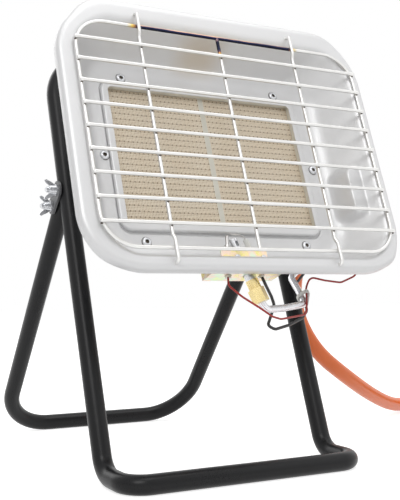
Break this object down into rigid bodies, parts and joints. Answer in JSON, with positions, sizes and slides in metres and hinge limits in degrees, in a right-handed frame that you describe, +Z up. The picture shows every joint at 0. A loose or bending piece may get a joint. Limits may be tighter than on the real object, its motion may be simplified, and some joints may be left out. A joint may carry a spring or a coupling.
{
  "type": "portable gas radiant heater",
  "caption": "Pressed dish with ceramic burner plaques behind a wire guard, tilting on a folding tube stand, fed by a gas hose",
  "frame": {"origin": "on the floor under the middle of the heater's box, without the hose", "axes": "+Z up; the heater radiates toward -Y; +X is to the right as you look at its face"},
  "size_m": [0.746, 0.3644, 0.3911],
  "materials": {
    "black_tube": "black satin enamel on steel tube",
    "black_plate": "black enamel on steel sheet",
    "zinc": "bright zinc plate",
    "dish": "satin aluminised steel pressing",
    "plated_sheet": "plain zinc-plated sheet steel",
    "guard_wire": "zinc-plated wire, heat-tinted at the top",
    "plaque": "unglazed honeycomb ceramic",
    "gasket": "ceramic fibre felt",
    "brass": "machined brass",
    "steel": "stainless steel",
    "black_plastic": "black moulded plastic",
    "red_plastic": "red moulded plastic",
    "aluminium_tube": "drawn aluminium tube",
    "yellow_zinc": "yellow-passivated zinc plate",
    "insulator": "white glazed alumina",
    "black_lead": "black silicone sleeve",
    "red_lead": "red-brown sleeve",
    "tie": "white nylon",
    "hose": "orange rubber gas hose",
    "ferrule": "crimped zinc-plated ferrule"
  },
  "bodies": {
    "stand": {"front_frame": "black_tube", "upper_hoop": "black_tube", "hinge_plate_left": "black_plate", "hinge_plate_right": "black_plate", "tilt_bolts": "zinc", "fold_bolts": "zinc", "washers": "zinc", "gas_hose": "hose", "hose_coil": "hose", "hose_tail": "hose", "end_ferrule": "ferrule", "hose_end_fitting": "brass"},
    "heater_head": {"reflector_dish": "dish", "burner_frame": "dish", "burner_rivets": "zinc", "ceramic_plaque_left": "plaque", "ceramic_plaque_right": "plaque", "plaque_gasket": "gasket", "burner_plenum": "plated_sheet", "venturi_tube": "plated_sheet", "injector_holder": "plated_sheet", "injector": "brass", "burner_gas_pipe": "aluminium_tube", "wire_guard": "guard_wire", "pilot_bracket": "yellow_zinc", "pilot_burner": "zinc", "thermocouple": "steel", "ignition_electrode": "steel", "electrode_insulator": "insulator", "pilot_fitting": "brass", "pilot_nut": "brass", "pilot_gas_tube": "aluminium_tube", "pilot_screws": "zinc", "ignition_lead": "black_lead", "thermocouple_lead": "red_lead", "switch_lead": "red_lead", "cable_tie": "tie", "gas_valve": "brass", "valve_bracket": "plated_sheet", "valve_screws": "zinc", "piezo_body": "black_plastic", "tilt_switch": "black_plastic", "hose_inlet": "brass", "inlet_ferrule": "ferrule", "side_bracket_left": "black_plate", "side_bracket_right": "black_plate", "bracket_rivets": "zinc"},
    "rear_leg": {"rear_frame": "black_tube"},
    "valve_core": {"valve_plug": "brass"},
    "knob": {"valve_spindle": "steel", "control_knob": "black_plastic"},
    "igniter_button": {"piezo_button": "red_plastic"},
    "union_nut": {"cylinder_nut": "brass"},
    "tilt_nut_left": {"tilt_wing_nut_left": "zinc"},
    "tilt_nut_right": {"tilt_wing_nut_right": "zinc"},
    "fold_nut_left": {"fold_wing_nut_left": "zinc"},
    "fold_nut_right": {"fold_wing_nut_right": "zinc"}
  },
  "joints": [
    {"name": "head_tilt", "type": "hinge", "parent": "stand", "child": "heater_head", "pos_m": [0, -0.01818, 0.24447], "axis": [1, 0, 0], "range_deg": [-25, 20], "deforming": ["gas_hose"]},
    {"name": "rear_leg_fold", "type": "hinge", "parent": "stand", "child": "rear_leg", "pos_m": [0, -0.00487, 0.23095], "axis": [1, 0, 0], "range_deg": [-58.5, 0]},
    {"name": "valve_turn", "type": "hinge", "parent": "heater_head", "child": "valve_core", "pos_m": [0.13, -0.11871, 0.23829], "axis": [1, 0, 0], "range_deg": [0, 90]},
    {"name": "knob_push", "type": "slide", "parent": "valve_core", "child": "knob", "axis": [-1, 0, 0], "range_m": [0, 0.0025], "stiffness_N_per_m": 900, "springref_m": -0.002},
    {"name": "igniter_press", "type": "slide", "parent": "heater_head", "child": "igniter_button", "axis": [-1, 0, 0], "range_m": [0, 0.005], "stiffness_N_per_m": 1200, "springref_m": -0.002},
    {"name": "union_nut_spin", "type": "hinge", "parent": "stand", "child": "union_nut", "pos_m": [0.584, -0.11458, 0.01], "axis": [0, -1, 0], "continuous": true},
    {"name": "tilt_nut_left_spin", "type": "hinge", "parent": "stand", "child": "tilt_nut_left", "pos_m": [-0.1235, -0.01818, 0.24447], "axis": [1, 0, 0], "continuous": true},
    {"name": "fold_nut_left_spin", "type": "hinge", "parent": "stand", "child": "fold_nut_left", "pos_m": [-0.1235, -0.00487, 0.23095], "axis": [1, 0, 0], "continuous": true},
    {"name": "tilt_nut_right_spin", "type": "hinge", "parent": "stand", "child": "tilt_nut_right", "pos_m": [0.1235, -0.01818, 0.24447], "axis": [1, 0, 0], "continuous": true},
    {"name": "fold_nut_right_spin", "type": "hinge", "parent": "stand", "child": "fold_nut_right", "pos_m": [0.1235, -0.00487, 0.23095], "axis": [1, 0, 0], "continuous": true}
  ]
}
